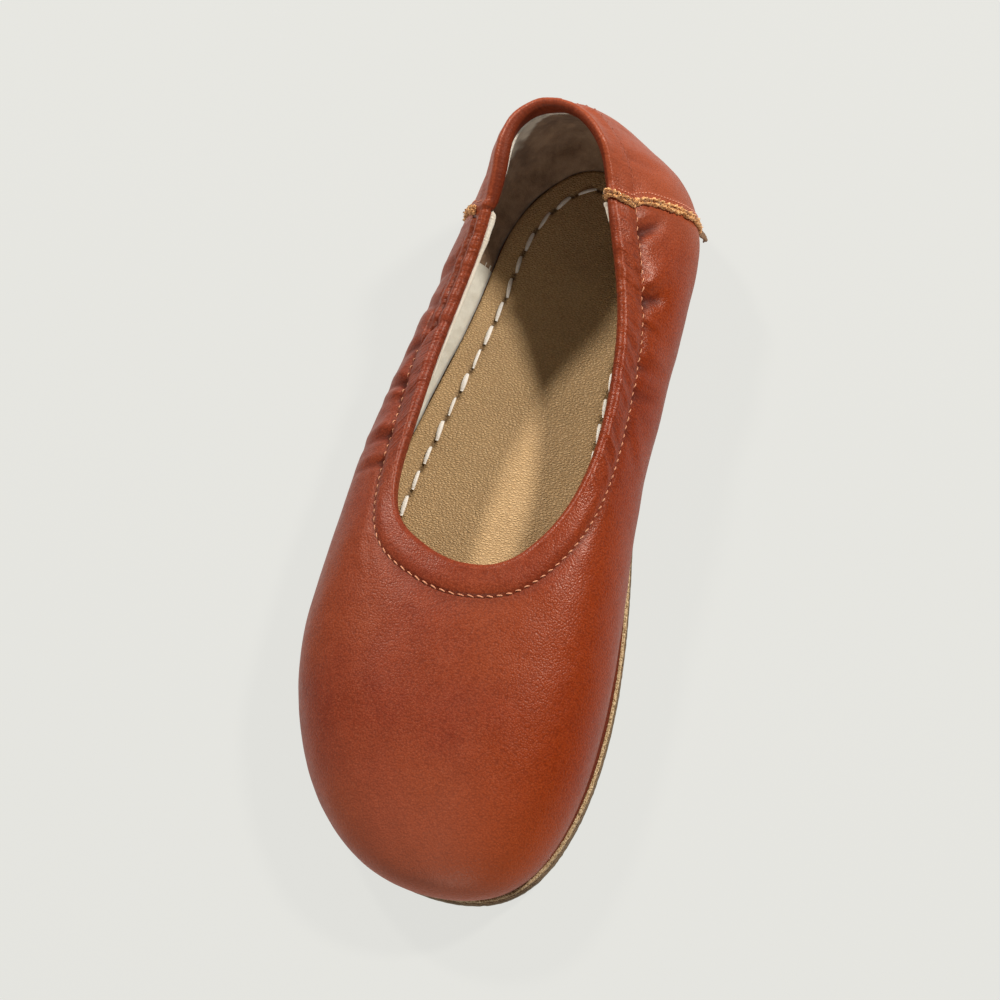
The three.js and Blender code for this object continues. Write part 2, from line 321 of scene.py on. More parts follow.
class WallMap:
    """The middle of the upper's wall, looked up by rib and level. Level runs from 0 at the sole to 1 at
    the hem's stitch line and 2 at the collar."""

    RIBS_AROUND = 1440
    LEVELS = 161

    def __init__(self):
        self.around = even_places(self.RIBS_AROUND)
        rib = rib_numbers(self.around)
        foot = edge_inset(self.around, UPPER_INSET, MARGIN_BASE + HALF_WALL)
        top = np.stack([sideways(rib["top_across"]), lengthways(rib["top_along"]),
                        upwards(rib["top_up"])], -1)
        lean = foot - top
        lean[:, 2] = 0
        for number, *shift, half in COLLAR_SHIFTS:
            share = bell(rib_distance(self.around, number), half)
            top = top + share[:, None] * np.array(shift) * MM
        low = foot + edge_outward(self.around) * sideways(rib["bulge"])[:, None]
        low += UP * upwards(rib["rise"])[:, None]
        high = top + unit(lean) * sideways(rib["reach"])[:, None]
        high -= UP * upwards(rib["fall"])[:, None]
        self.map_out((foot, low, high, top))

    def map_out(self, corners):
        """Spaces the levels evenly by length below the hem and across it, then eases the wall."""
        steps = np.linspace(0, 1, self.LEVELS)
        pace = np.linalg.norm(np.diff(self.bezier(corners, steps[None]), axis=1), axis=2)
        length = np.concatenate([np.zeros((self.RIBS_AROUND, 1)), np.cumsum(pace, 1)], 1)
        self.body = length[:, -1] - HEM_WIDTH
        levels = np.linspace(0, 2, self.LEVELS)
        body = self.body[:, None]
        reach = np.where(levels <= 1, levels * body, body + (levels - 1) * HEM_WIDTH)
        shares = np.array([np.interp(*row, steps) for row in zip(reach, length)])
        self.points = self.bezier(corners, shares)
        self.measure()
        ease = np.zeros(self.points.shape[:2])
        for number, middle, out, half, height in WALL_SHIFTS:
            share = bell(rib_distance(self.around, number), half)
            ease += out * MM * share[:, None] * bell(levels - middle, height)
        self.points += self.outward * ease[..., None]
        self.measure()

    def measure(self):
        """The map's directions, and how many metres a rib's step is."""
        across = np.roll(self.points, -1, 0) - np.roll(self.points, 1, 0)
        self.speed = np.linalg.norm(across, axis=2) * self.RIBS_AROUND / (2 * RIB_COUNT)
        self.rise = unit(np.gradient(self.points, axis=1))
        self.outward = unit(np.cross(self.rise, unit(across)))

    @staticmethod
    def bezier(corners, t):
        foot, low, high, top = (corner[:, None] for corner in corners)
        t = t[..., None]
        return ((1 - t) ** 3 * foot + 3 * t * (1 - t) ** 2 * low
                + 3 * t * t * (1 - t) * high + t ** 3 * top)

    def look_up(self, grid, around, level):
        around, level = np.broadcast_arrays(np.asarray(around, float), np.asarray(level, float))
        place = np.mod(around, RIB_COUNT) * self.RIBS_AROUND / RIB_COUNT
        row = np.floor(place).astype(int) % self.RIBS_AROUND
        after = (row + 1) % self.RIBS_AROUND
        height = np.clip(level, 0, 2) / 2 * (self.LEVELS - 1)
        step = np.minimum(np.floor(height).astype(int), self.LEVELS - 2)
        s, t = place - np.floor(place), height - step
        if grid.ndim == 3:
            s, t = s[..., None], t[..., None]
        low = grid[row, step] * (1 - t) + grid[row, step + 1] * t
        high = grid[after, step] * (1 - t) + grid[after, step + 1] * t
        return low * (1 - s) + high * s

    def point(self, around, level, out=0.0):
        """Points of the wall's middle, moved outward by out."""
        spot = self.look_up(self.points, around, level)
        return spot + self.normal(around, level) * np.asarray(out)[..., None]

    def normal(self, around, level):
        return unit(self.look_up(self.outward, around, level))

    def climb(self, around, level):
        return unit(self.look_up(self.rise, around, level))

    def rib_step(self, around, level):
        """Metres to the next rib."""
        return self.look_up(self.speed, around, level)

    def body_height(self, around):
        """Metres up the wall from the sole to the hem's stitch line."""
        return np.interp(np.mod(around, RIB_COUNT), self.around, self.body)


wall = WallMap()


class Line:
    """A line on the wall, so that stitches can be set out along it at even steps."""

    def __init__(self, around, level):
        self.around, self.level = around, level
        self.length = running_length(wall.point(around, level))

    def at(self, distance):
        return (np.interp(distance, self.length, self.around),
                np.interp(distance, self.length, self.level))


hem_line = Line(np.linspace(0, RIB_COUNT, 1801), np.full(1801, 1.0))


def hem_length(around):
    """Metres along the hem's stitch line from the back of the heel."""
    return np.interp(np.mod(around, RIB_COUNT), hem_line.around, hem_line.length)


def seam_rib(seam, level):
    """The rib that a side seam has reached at a level. It leans most just below the hem."""
    share = 0.70 * np.clip((level - 0.06) / 0.94, 0, 1) + 0.22 * smoothstep(level, 0.85, 1.1)
    share = share + 0.08 * np.clip(level - 1, 0, 1)
    return seam["sole"] + (seam["collar"] - seam["sole"]) * share


# The relief of the leather's outer face

def front_share(around):
    """1 in front of both side seams, 0 on the heel piece."""
    return between(np.mod(around, RIB_COUNT), 1.9, 2.1, 15.28, 15.45)


def flank_share(around):
    """How much a place is gathered: fully on both flanks, a little at the heel, not at the throat."""
    place = np.mod(around, RIB_COUNT)
    flanks = np.maximum(between(place, 1.9, 2.3, 3.8, 5.6), between(place, 11.4, 12.8, 15.1, 15.5))
    return np.maximum(flanks, 0.3 * (1 - front_share(around)))


def tucked_share(around):
    """1 where the worn lateral flank has rolled over the hem's stitches."""
    return between(np.mod(around, RIB_COUNT), 13.9, 14.15, 15.22, 15.33)


def valley_level(around):
    """The level of the hem's valley. It is its stitch line, or higher where the flank has rolled over."""
    return 1 + tucked_share(around) * (0.70 + 0.05 * wobble(hem_length(around) / (1.6 * MM), 8))


def hem_relief(around, level):
    """The hem rises from its valley and rounds over towards the rim."""
    past = level - valley_level(around)
    front = front_share(around)
    depth = (0.05 + 0.33 * front) * (1 - 0.5 * tucked_share(around))
    rise = (1 - (1 - np.clip(past / 0.55, 0, 1)) ** 2) * (0.35 + 0.65 * front)
    flank = 0.9 * MM * tucked_share(around) * bell(past + 0.24, 0.24)
    return -MM * depth * bell(past, 0.06) + HEM_PUFF * rise + flank


def gather_relief(around, level):
    """Soft waves and fine ribs across the hem, and puckers that run from the stitches into the wall."""
    along = hem_length(around)
    on_hem = smoothstep(level, 1.0, 1.12)
    ribs = pleats(along, 1.5 * MM, 2.4, 4 * MM, 3, 0.8 * level)
    ribs *= (0.5 + 0.5 * wobble(along / (4 * MM), 4)) * on_hem
    waves = wobble(along / (5.5 * MM) + 0.5 * level, 5) * smoothstep(level, 1.02, 1.3)
    puckers = pleats(along, 3.4 * MM, 2.6, 8 * MM, 6, 3 * level)
    fade = np.exp(-np.maximum(1 - level, 0) / 0.15) * (1 - on_hem)
    puckers *= fade * (0.5 + 0.5 * wobble(along / (9 * MM), 7))
    return flank_share(around) * MM * (0.10 * ribs + 0.30 * waves + 0.14 * puckers)


def crease_relief(points, level):
    """The troughs and swells that are listed. A fold's swell is fuller on its heel side."""
    total = np.zeros(points.shape[:-1])
    for rib_a, level_a, rib_b, level_b, depth, width in CREASES:
        start, end = wall.point(np.array([rib_a, rib_b]), np.array([level_a, level_b]))
        way = end - start
        place = (points - start) @ way / (way @ way)
        offset = points - start - np.clip(place, 0, 1)[..., None] * way
        apart = np.linalg.norm(offset, axis=-1) / (width * MM)
        heel_side = 0.5 + 0.5 * np.tanh(offset[..., 1] / (0.6 * width * MM))
        swell = bell(apart - 1.7, 1) * (0.1 + 0.5 * heel_side)
        total += depth * MM * (swell - bell(apart, 1)) * (1 - smoothstep(place, 0.3, 1.25))
    for rib, height_level, height, radius in SWELLS:
        middle = wall.point(np.array([rib]), np.array([height_level]))[0]
        total += height * MM * bell(np.linalg.norm(points - middle, axis=-1) / (radius * MM), 1)
    return total * smoothstep(level, 0.0, 0.15) * (1 - 0.8 * smoothstep(level, 0.98, 1.08))


def seam_distance(seam, around, level):
    """How far a place lies from a side seam, positive on the heel piece."""
    apart = rib_distance(around, seam_rib(seam, level))
    return seam["heelward"] * apart * wall.rib_step(around, level)


def beside_seam(seam, rib, level, distance):
    """The rib that lies a distance to the heel's side of another."""
    return rib + seam["heelward"] * distance / wall.rib_step(rib, level)


def rim_dent(around):
    """1 where a side seam crosses the rim."""
    return sum(bell(seam_distance(seam, around, 2.0), 0.6 * MM) for seam in SEAMS.values())


def seam_relief(around, level):
    """The turned allowance beside each raw edge, the groove of its stitches, and a dent in the rim."""
    total = np.zeros(np.broadcast(around, level).shape)
    for seam in SEAMS.values():
        apart = seam_distance(seam, around, level)
        flap = between(apart, -0.6 * MM, 0.1 * MM, 2.5 * MM, 3.9 * MM)
        groove = bell(apart - SEAM_ALLOWANCE, 0.5 * MM)
        total += MM * (0.45 * flap - 0.2 * groove - 0.3 * bell(apart + 1.3 * MM, 0.8 * MM))
    return total - 0.6 * MM * rim_dent(around) * smoothstep(level, 1.6, 2.0)


def inner_fold(around):
    """How far the folded hem stands off the wall on the inside. It is fullest on the heel piece."""
    full = bell(rib_distance(around, 15.9), 0.7) * (1 - front_share(around))
    return HEM_PUFF + MM * (1.7 * full - 0.6 * rim_dent(around))


def leather_relief(around, level):
    """All of the outer face's relief beyond the wall's even thickness."""
    points = wall.point(around, level)
    soft = 0.12 * MM * lumps(points, 16 * MM, 11) * (0.4 + 0.6 * flank_share(around))
    fine = 0.035 * MM * lumps(points, 4.5 * MM, 12)
    return (hem_relief(around, level) + gather_relief(around, level) + seam_relief(around, level)
            + crease_relief(points, level) + (soft + fine) * smoothstep(level, 0, 0.2))


def face_point(around, level, lift=0.0):
    """Points on the leather's outer face, or lifted off it."""
    return wall.point(around, level, HALF_WALL + leather_relief(around, level) + lift)


# Meshes

def frame_offset():
    """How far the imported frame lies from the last's own axes, from the outsole's outline."""
    low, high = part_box("outsole")
    own = outline(-OUTSOLE_LIP, 540)
    middle = (own.min(0) + own.max(0)) / 2
    return np.array([(low.x + high.x) / 2 - middle[0], (low.y + high.y) / 2 - middle[1], 0.0])


TO_FRAME = frame_offset()


def add_object(name, data):
    thing = bpy.data.objects.new(name, data)
    bpy.context.scene.collection.objects.link(thing)
    return thing


def mesh_piece(name, points, faces, material, slot, replaces=(), **tones):
    """A smooth mesh that rides with the shoe. Each tone is a number for each point."""
    mesh = bpy.data.meshes.new(name)
    mesh.from_pydata((np.asarray(points).reshape(-1, 3) + TO_FRAME).tolist(), [], faces)
    mesh.polygons.foreach_set("use_smooth", [True] * len(mesh.polygons))
    for tone, values in tones.items():
        layer = mesh.attributes.new(tone, "FLOAT", "POINT")
        layer.data.foreach_set("value", np.asarray(values, np.float32).ravel())
    mesh.materials.append(material)
    mesh.validate()
    piece = add_object(name, mesh)
    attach(piece, "root")
    if replaces:
        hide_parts(*replaces)


def grid_faces(rows, columns, close_rows=False, close_columns=False, first=0):
    """The faces of a grid of points, numbered row by row."""
    row = np.arange(rows if close_rows else rows - 1)
    column = np.arange(columns if close_columns else columns - 1)
    row, column = (part.ravel() for part in np.meshgrid(row, column, indexing="ij"))
    next_row, next_column = (row + 1) % rows, (column + 1) % columns
    corners = ((row, column), (row, next_column), (next_row, next_column), (next_row, column))
    return (np.stack([r * columns + c for r, c in corners], -1) + first).tolist()


class Heap:
    """Many small closed shapes gathered into one mesh."""

    def __init__(self):
        self.points, self.faces, self.tones, self.count = [], [], [], 0

    def add_tube(self, rings, tone=0.5):
        """A closed tube through rings of points, with a flat lid at each end."""
        rows, size = rings.shape[:2]
        self.faces += grid_faces(rows, size, close_columns=True, first=self.count)
        self.faces.append([self.count + k for k in range(size)])
        last = self.count + (rows - 1) * size
        self.faces.append([last + size - 1 - k for k in range(size)])
        self.points.append(rings.reshape(-1, 3))
        self.tones.append(np.full(rows * size, tone))
        self.count += rows * size

    def piece(self, name, material, slot, replaces=()):
        mesh_piece(name, np.concatenate(self.points), self.faces, material, slot, replaces,
                   tone=np.concatenate(self.tones))


def tube_rings(path, side, up, radius, sides, flatten=1.0):
    """Rings of a tube round a path, given the sideways and upward directions along it."""
    turn = np.linspace(0, 2 * math.pi, sides, endpoint=False)[None, :, None]
    side, up = np.broadcast_to(side, path.shape), np.broadcast_to(up, path.shape)
    radius = np.broadcast_to(radius, path.shape[:1])[:, None, None]
    return path[:, None] + radius * (np.cos(turn) * side[:, None] + np.sin(turn) * up[:, None] * flatten)


def stitch_rings(start, end, up, radius, arch, sides=7, steps=9, flatten=0.8, sink=0.0):
    """One stitch: a thread that rises out of the leather, arches and dives back in."""
    share = np.linspace(0, 1, steps)
    way = end - start
    lift = np.sin(share * math.pi) ** 0.6 * arch - sink
    path = start + share[:, None] * way + lift[:, None] * up
    swell = radius * (0.35 + 0.65 * np.sin(np.clip(share, 0.03, 0.97) * math.pi) ** 0.35)
    return tube_rings(path, unit(np.cross(way, up)), unit(up), swell, sides, flatten)


def hair_rings(root, lean, length, radius):
    """A short curled fibre."""
    share = np.linspace(0, 1, 4)
    curl = (share ** 2)[:, None] * rng.normal(size=3) * 0.4 * length
    path = root + share[:, None] * lean * length + curl
    side = unit(np.cross(lean, [0.3, 0.5, 0.8]))
    return tube_rings(path, side, np.cross(lean, side), radius * (1 - 0.8 * share), 3)


# Materials

def linear(red, green, blue):
    """A screen colour of 0 to 255 as the shader's own colour."""
    def channel(value):
        value /= 255
        return value / 12.92 if value <= 0.04045 else ((value + 0.055) / 1.055) ** 2.4
    return (channel(red), channel(green), channel(blue), 1.0)


class Finish:
    """A material that is built node by node on the shoe's own coordinates."""

    def __init__(self, name, roughness, specular, sheen=0.0, coat=0.0):
        self.material = bpy.data.materials.new(name)
        self.material.use_nodes = True
        self.tree = self.material.node_tree
        self.shader = self.tree.nodes["Principled BSDF"]
        self.fill(self.shader, {"Roughness": roughness, "Specular IOR Level": specular,
                                "Coat Weight": coat, "Coat Roughness": 0.3,
                                "Sheen Weight": sheen, "Sheen Roughness": 0.6})
        self.place = self.node("TexCoord").outputs["Object"]

    def fill(self, node, values):
        """Sets or links a node's inputs."""
        for name, value in values.items():
            if isinstance(value, bpy.types.NodeSocket):
                self.tree.links.new(value, node.inputs[name])
            else:
                node.inputs[name].default_value = value

    def node(self, kind, values=None, **settings):
        node = self.tree.nodes.new("ShaderNode" + kind)
        for name, value in settings.items():
            setattr(node, name, value)
        self.fill(node, values or {})
        return node

    def noise(self, size, detail=2.0, roughness=0.5, place=None):
        values = {"Scale": 1 / size, "Detail": detail, "Roughness": roughness,
                  "Vector": place or self.place}
        return self.node("TexNoise", values).outputs["Fac"]

    def pebbles(self, size):
        values = {"Scale": 1 / size, "Smoothness": 0.4, "Vector": self.place}
        return self.node("TexVoronoi", values, feature="SMOOTH_F1").outputs["Distance"]

    def creases(self, size, stretch):
        """How far a place lies from the creases between cells, in cells."""
        stretched = self.node("Mapping", {"Scale": stretch, "Vector": self.place})
        values = {"Scale": 1 / size, "Vector": stretched.outputs["Vector"]}
        return self.node("TexVoronoi", values, feature="DISTANCE_TO_EDGE").outputs["Distance"]

    def wrinkles(self, size):
        """Noise drawn out across the hem, from the lengths that are stored with the leather's points."""
        values = {"X": self.tone("along"), "Y": self.math("MULTIPLY", self.tone("climb"), 0.12)}
        return self.noise(size, 2, 0.55, self.node("CombineXYZ", values).outputs["Vector"])

    def upward(self):
        """How far a place faces up: 1 on top, 0 on a wall and -1 below."""
        normal = self.node("NewGeometry").outputs["Normal"]
        return self.node("SeparateXYZ", {0: normal}).outputs["Z"]

    def coordinate(self, axis):
        """One of a place's coordinates in metres. X grows to the inner side, Y towards the heel."""
        return self.node("SeparateXYZ", {0: self.place}).outputs[axis]

    def tone(self, name="tone"):
        return self.node("Attribute", attribute_name=name).outputs["Fac"]

    def math(self, operation, first, second):
        return self.node("Math", {0: first, 1: second}, operation=operation).outputs[0]

    def ramp(self, source, stops):
        """Colours along a value: stops of (place, colour)."""
        node = self.node("ValToRGB", {"Fac": source})
        band = node.color_ramp
        while len(band.elements) < len(stops):
            band.elements.new(0.5)
        for element, (place, colour) in zip(band.elements, stops):
            element.position = place
            element.color = linear(*colour)
        return node.outputs["Color"]

    def grey(self, source, low, high, first=0.0, last=1.0):
        """The source's range stretched between two numbers."""
        values = {"Value": source, "From Min": low, "From Max": high, "To Min": first, "To Max": last}
        return self.node("MapRange", values).outputs["Result"]

    def mix(self, share, first, second, blend="MIX"):
        values = {"Factor": share, "A": first, "B": second}
        return self.node("Mix", values, data_type="RGBA", blend_type=blend).outputs["Result"]

    def layered(self, colour, *coats):
        """Coats over a colour: pairs of how much of a coat shows, and its screen colour."""
        for share, coat in coats:
            colour = self.mix(share, colour, linear(*coat))
        return colour

    def bump(self, height, distance, strength=1.0, after=None):
        values = {"Distance": distance, "Strength": strength, "Height": height}
        if after is not None:
            values["Normal"] = after
        return self.node("Bump", values).outputs["Normal"]

    def finish(self, colour, normal=None, roughness=None):
        values = {"Base Color": colour, "Normal": normal, "Roughness": roughness}
        self.fill(self.shader, {name: value for name, value in values.items() if value is not None})
        return self.material


def upper_leather():
    """Smooth rust leather with a fine pebble, mottled dye and cross wrinkles at the hem. Painted shade
    darkens its troughs, wrinkles and stitched valley, and painted light brightens its toe and heel.
    """
    leather = Finish("upper_leather", 0.42, 0.24, coat=0.03)
    leather.fill(leather.shader, {"Specular Tint": (1.0, 0.72, 0.6, 1)})
    grey, y = leather.grey, leather.coordinate("Y")
    grain = leather.pebbles(0.55 * MM)
    wrinkle = leather.wrinkles(0.5 * MM)
    gather = leather.tone("gather")
    mottle = grey(leather.noise(7 * MM, 4, 0.6), 0.35, 0.68)
    inner_side = leather.math("MULTIPLY", grey(leather.coordinate("X"), 0.012, 0.036, 0, 0.8),
                              grey(y, 0.09, 0.07))
    dye_light_and_shade = leather.layered(
        leather.mix(mottle, linear(127, 51, 31), linear(140, 60, 37)),
        (grey(leather.noise(42 * MM, 2, 0.5), 0.4, 0.62, 0, 0.6), (143, 63, 28)),
        (grey(grain, 0.3, 0.8, 0, 0.55), (94, 36, 22)),
        (grey(leather.noise(0.6 * MM, 3, 0.7), 0.52, 0.74, 0, 0.6), (164, 88, 60)),
        # Painted light: the heel is lightened, and the toe gets a pinkish painted sheen.
        (grey(y, 0.075, 0.10, 0, 0.4), (172, 84, 50)),
        (grey(y, -0.085, -0.122, 0, 0.4), (172, 98, 74)))
    # The inner flank gets a deeper, darker orange: partly the leather's own burnish, partly painted to
    # offset the pale floor's reflection there.
    dye_light_and_shade = leather.mix(inner_side, dye_light_and_shade, (1.0, 0.64, 0.14, 1), "MULTIPLY")
    # Painted shade in the valleys of the fine wrinkles.
    wrinkle_shade = leather.math("MULTIPLY", grey(wrinkle, 0.55, 0.35, 0, 0.5), gather)
    dye_light_and_shade = leather.layered(dye_light_and_shade, (wrinkle_shade, (80, 28, 16)))
    # Painted shade: a low tone darkens the troughs, the hem's stitched valley, the foot of the wall and the
    # inside of the heel's hem.
    painted_tone = leather.ramp(leather.tone(), ((0.0, (92, 64, 54)), (0.34, (184, 160, 150)),
                                         (0.6, (255, 255, 255)), (1.0, (255, 255, 255))))
    dye_light_and_shade = leather.mix(1.0, dye_light_and_shade, painted_tone, "MULTIPLY")
    rough = grey(leather.noise(1.6 * MM, 3, 0.6), 0.3, 0.7, 0.34, 0.48)
    for more in (grey(leather.tone(), 0.64, 0.1, 0, 0.35), grey(leather.upward(), 0.5, 0.0, 0, 0.14),
                 grey(leather.tone("climb"), 4 * MM, 7 * MM, 0, -0.05),
                 leather.math("MULTIPLY", inner_side, -0.1)):
        rough = leather.math("ADD", rough, more)
    relief = leather.bump(leather.noise(2.0 * MM, 3, 0.6), 0.03 * MM, 0.6)
    relief = leather.bump(leather.math("MULTIPLY", wrinkle, gather), 0.14 * MM, 0.8, relief)
    relief = leather.bump(leather.math("MULTIPLY", grain, -1.0), 0.10 * MM, 0.9, relief)
    return leather.finish(dye_light_and_shade, relief, rough)


def raw_edge():
    """The cut edge of the leather: orange-tan fibres, darkened by painted shade on the sunken strand
    between the edges and on some fibres.
    """
    edge = Finish("raw_edge", 0.85, 0.2, sheen=0.2)
    colour = edge.ramp(edge.noise(0.9 * MM, 4, 0.75), (
        (0.34, (150, 92, 48)), (0.46, (212, 148, 86)), (0.58, (238, 184, 122)), (0.8, (248, 216, 168))))
    # Painted shade: a low tone darkens the sunken middle strand and some fibres.
    colour = edge.layered(colour, (edge.grey(edge.tone(), 0, 0.45, 0.92, 0), (112, 58, 34)))
    return edge.finish(colour, edge.bump(edge.noise(0.3 * MM, 2, 0.6), 0.2 * MM, 0.8))


def sock_leather():
    """Matte khaki leather with a fine grain of short cells, and painted shade where its tone is low."""
    sock = Finish("sock_leather", 0.62, 0.3)
    grain = sock.creases(0.92 * MM, (0.75, 1.35, 1))
    cloud = sock.grey(sock.noise(18 * MM, 3, 0.55), 0.35, 0.7)
    colour = sock.layered(
        sock.mix(cloud, linear(202, 166, 118), linear(190, 155, 110)),
        (sock.grey(sock.noise(0.7 * MM, 3, 0.7), 0.4, 0.72, 0, 0.5), (220, 190, 144)),
        (sock.grey(grain, 0.0, 0.16, 0.6, 0), (138, 106, 68)),
        # Painted shade where the tone is low.
        (sock.grey(sock.tone(), 0.0, 1.0, 0.9, 0), (74, 54, 32)))
    return sock.finish(colour, sock.bump(sock.grey(grain, 0.0, 0.35), 0.3 * MM, 0.8))


def suede(name, pale, dark, nap, edge=(226, 218, 204)):
    """A napped lining whose cut edge is paler. Its tone can also paint a pale patch of lamp light."""
    lining = Finish(name, 0.95, 0.12, sheen=0.15)
    fibre = lining.noise(0.5 * MM, 3, 0.7)
    cloud = lining.grey(lining.noise(7 * MM, 4, 0.65), 0.35, 0.65)
    colour = lining.layered(
        lining.mix(cloud, linear(*dark), linear(*pale)),
        (lining.grey(fibre, 0.5, 0.8, 0, 0.35), pale), (lining.tone(), edge))
    return lining.finish(colour, lining.bump(fibre, nap, 0.7))


def sole_leather():
    """The midsole's cut leather edge: granular tan layers between thin dark lines, browner below."""
    sole = Finish("sole_leather", 0.9, 0.15, sheen=0.1)
    tan = sole.ramp(sole.noise(0.55 * MM, 4, 0.8), (
        (0.40, (96, 70, 44)), (0.48, (184, 150, 104)), (0.60, (236, 210, 168))))
    brown, line, full = (170, 150, 128), (104, 84, 66), (255, 255, 255)
    layers = sole.ramp(sole.tone("layer"), (
        (0.0, brown), (0.40, brown), (0.44, line), (0.50, line), (0.55, full), (0.76, full),
        (0.79, line), (0.84, line), (0.88, full), (1.0, full)))
    at_toe = sole.grey(sole.coordinate("Y"), -0.08, -0.115, 0, 0.4)
    colour = sole.layered(sole.mix(1.0, tan, layers, "MULTIPLY"), (at_toe, (104, 82, 58)))
    return sole.finish(colour, sole.bump(sole.noise(0.35 * MM, 2, 0.6), 0.3 * MM, 0.9))


def sole_rubber():
    """Dark rubber. A shallow ripple runs across its underside."""
    rubber = Finish("sole_rubber", 0.8, 0.3)
    colour = rubber.mix(rubber.noise(6 * MM, 3, 0.6), linear(92, 76, 58), linear(122, 102, 78))
    values = {"Scale": 1 / (12 * MM), "Distortion": 1.5, "Detail": 0, "Vector": rubber.place}
    wave = rubber.node("TexWave", values, bands_direction="Y").outputs["Fac"]
    ripple = rubber.math("MULTIPLY", wave, rubber.grey(rubber.upward(), -0.5, -0.9))
    relief = rubber.bump(ripple, 0.6 * MM, 0.8)
    relief = rubber.bump(rubber.noise(0.7 * MM, 3, 0.6), 0.1 * MM, 0.6, relief)
    return rubber.finish(colour, relief)


def thread(name, pale, dark):
    """Twisted sewing thread. A low tone leaves it nearly in the leather's own colour."""
    yarn = Finish(name, 0.6, 0.3, sheen=0.1)
    fibre = yarn.noise(0.35 * MM, 3, 0.6)
    colour = yarn.mix(yarn.grey(fibre, 0.35, 0.65), linear(*dark), linear(*pale))
    colour = yarn.layered(colour, (yarn.grey(yarn.tone(), 0.2, 0.6, 0.95, 0), (156, 76, 48)))
    return yarn.finish(colour, yarn.bump(fibre, 0.12 * MM, 0.6))


LEATHER = upper_leather()
RAW_EDGE = raw_edge()
SOCK = sock_leather()
# The heel suede's pale edge colour is also used for its painted patch of lamp light.
HEEL_SUEDE = suede("heel_suede", (156, 128, 102), (112, 86, 64), 0.3 * MM, (248, 242, 226))
PALE_LINING = suede("pale_lining", (216, 212, 198), (194, 188, 172), 0.12 * MM)
TAG = suede("tag_leather", (146, 112, 84), (112, 84, 62), 0.2 * MM, (118, 90, 66))
CREAM_LINING = suede("cream_lining", (250, 240, 220), (224, 206, 178), 0.15 * MM)
SOLE_LEATHER = sole_leather()
SOLE_RUBBER = sole_rubber()
HEM_THREAD = thread("hem_thread", (230, 164, 124), (200, 126, 90))
SEAM_THREAD = thread("seam_thread", (226, 160, 132), (196, 122, 94))
SOCK_THREAD = thread("sock_thread", (252, 248, 240), (232, 224, 210))
SOLE_FIBRE = thread("midsole_fibre", (214, 184, 132), (170, 136, 86))


# The upper

def fold_tone(around, level):
    """Painted shade: dark in the troughs and at the hem's stitches, full colour elsewhere."""
    relief = crease_relief(wall.point(around, level), level) + 1.2 * gather_relief(around, level)
    stitched = (0.14 + 0.05 * tucked_share(around)) * front_share(around)
    stitched = stitched * bell(level - valley_level(around), 0.05)
    return np.clip(0.66 + relief / (2.3 * MM) - stitched, 0, 1)


def leather_piece(name, around, level, points, tone, first=0, replaces=()):
    """A closed sleeve of the leather. From its first column on it has marks at the levels given: lengths
    along and up from the stitch line, and how finely it is wrinkled."""
    along = hem_length(around)
    along = np.minimum(along, hem_line.length[-1] - along)
    climb = (level - 1) * np.where(level > 1, HEM_WIDTH, wall.body_height(around))
    fade = np.exp(-np.maximum(-climb, 0) / (6 * MM))
    marks = {"along": along + 0 * climb, "climb": climb,
             "gather": (0.25 + 0.75 * flank_share(around)) * fade}
    for mark, values in marks.items():
        marks[mark] = np.zeros(tone.shape)
        marks[mark][:, first:first + values.shape[1]] = values
    faces = grid_faces(*tone.shape, close_rows=True, close_columns=True)
    mesh_piece(name, points, faces, LEATHER, "upper_leather", replaces, tone=tone, **marks)


def upper_body():
    """The wall from its margin under the insole up to the hem's stitch line."""
    around = even_places(720)[:, None]
    level = (1 - (1 - np.linspace(0, 1, 80)) ** 1.5)[None]
    back_level = np.linspace(1.04, 0.06, 18)[None]
    back_out = np.where(back_level > 1, 0.1 * MM, 0.15 * MM - HALF_WALL)
    rings = [edge_inset(around[:, 0], UPPER_INSET + inset, height)[:, None] for inset, height in (
        (MARGIN_WIDTH, MARGIN_BASE), (-0.3 * MM, MARGIN_BASE), (1.3 * MM, MARGIN_TOP),
        (MARGIN_WIDTH, MARGIN_TOP))]
    points = np.concatenate([*rings[:2], face_point(around, level),
                             wall.point(around, back_level, back_out), *rings[2:]], 1)
    tone = np.full(points.shape[:2], 0.6)
    # Painted shade along the foot of the wall, where it meets the sole. The lower tone also roughens it
    # there.
    tone[:, 2:2 + level.size] = fold_tone(around, level) - 0.3 * (1 - smoothstep(level, 0.0, 0.06))
    leather_piece("upper_body", around, level, points, tone, 2, ("upper",))


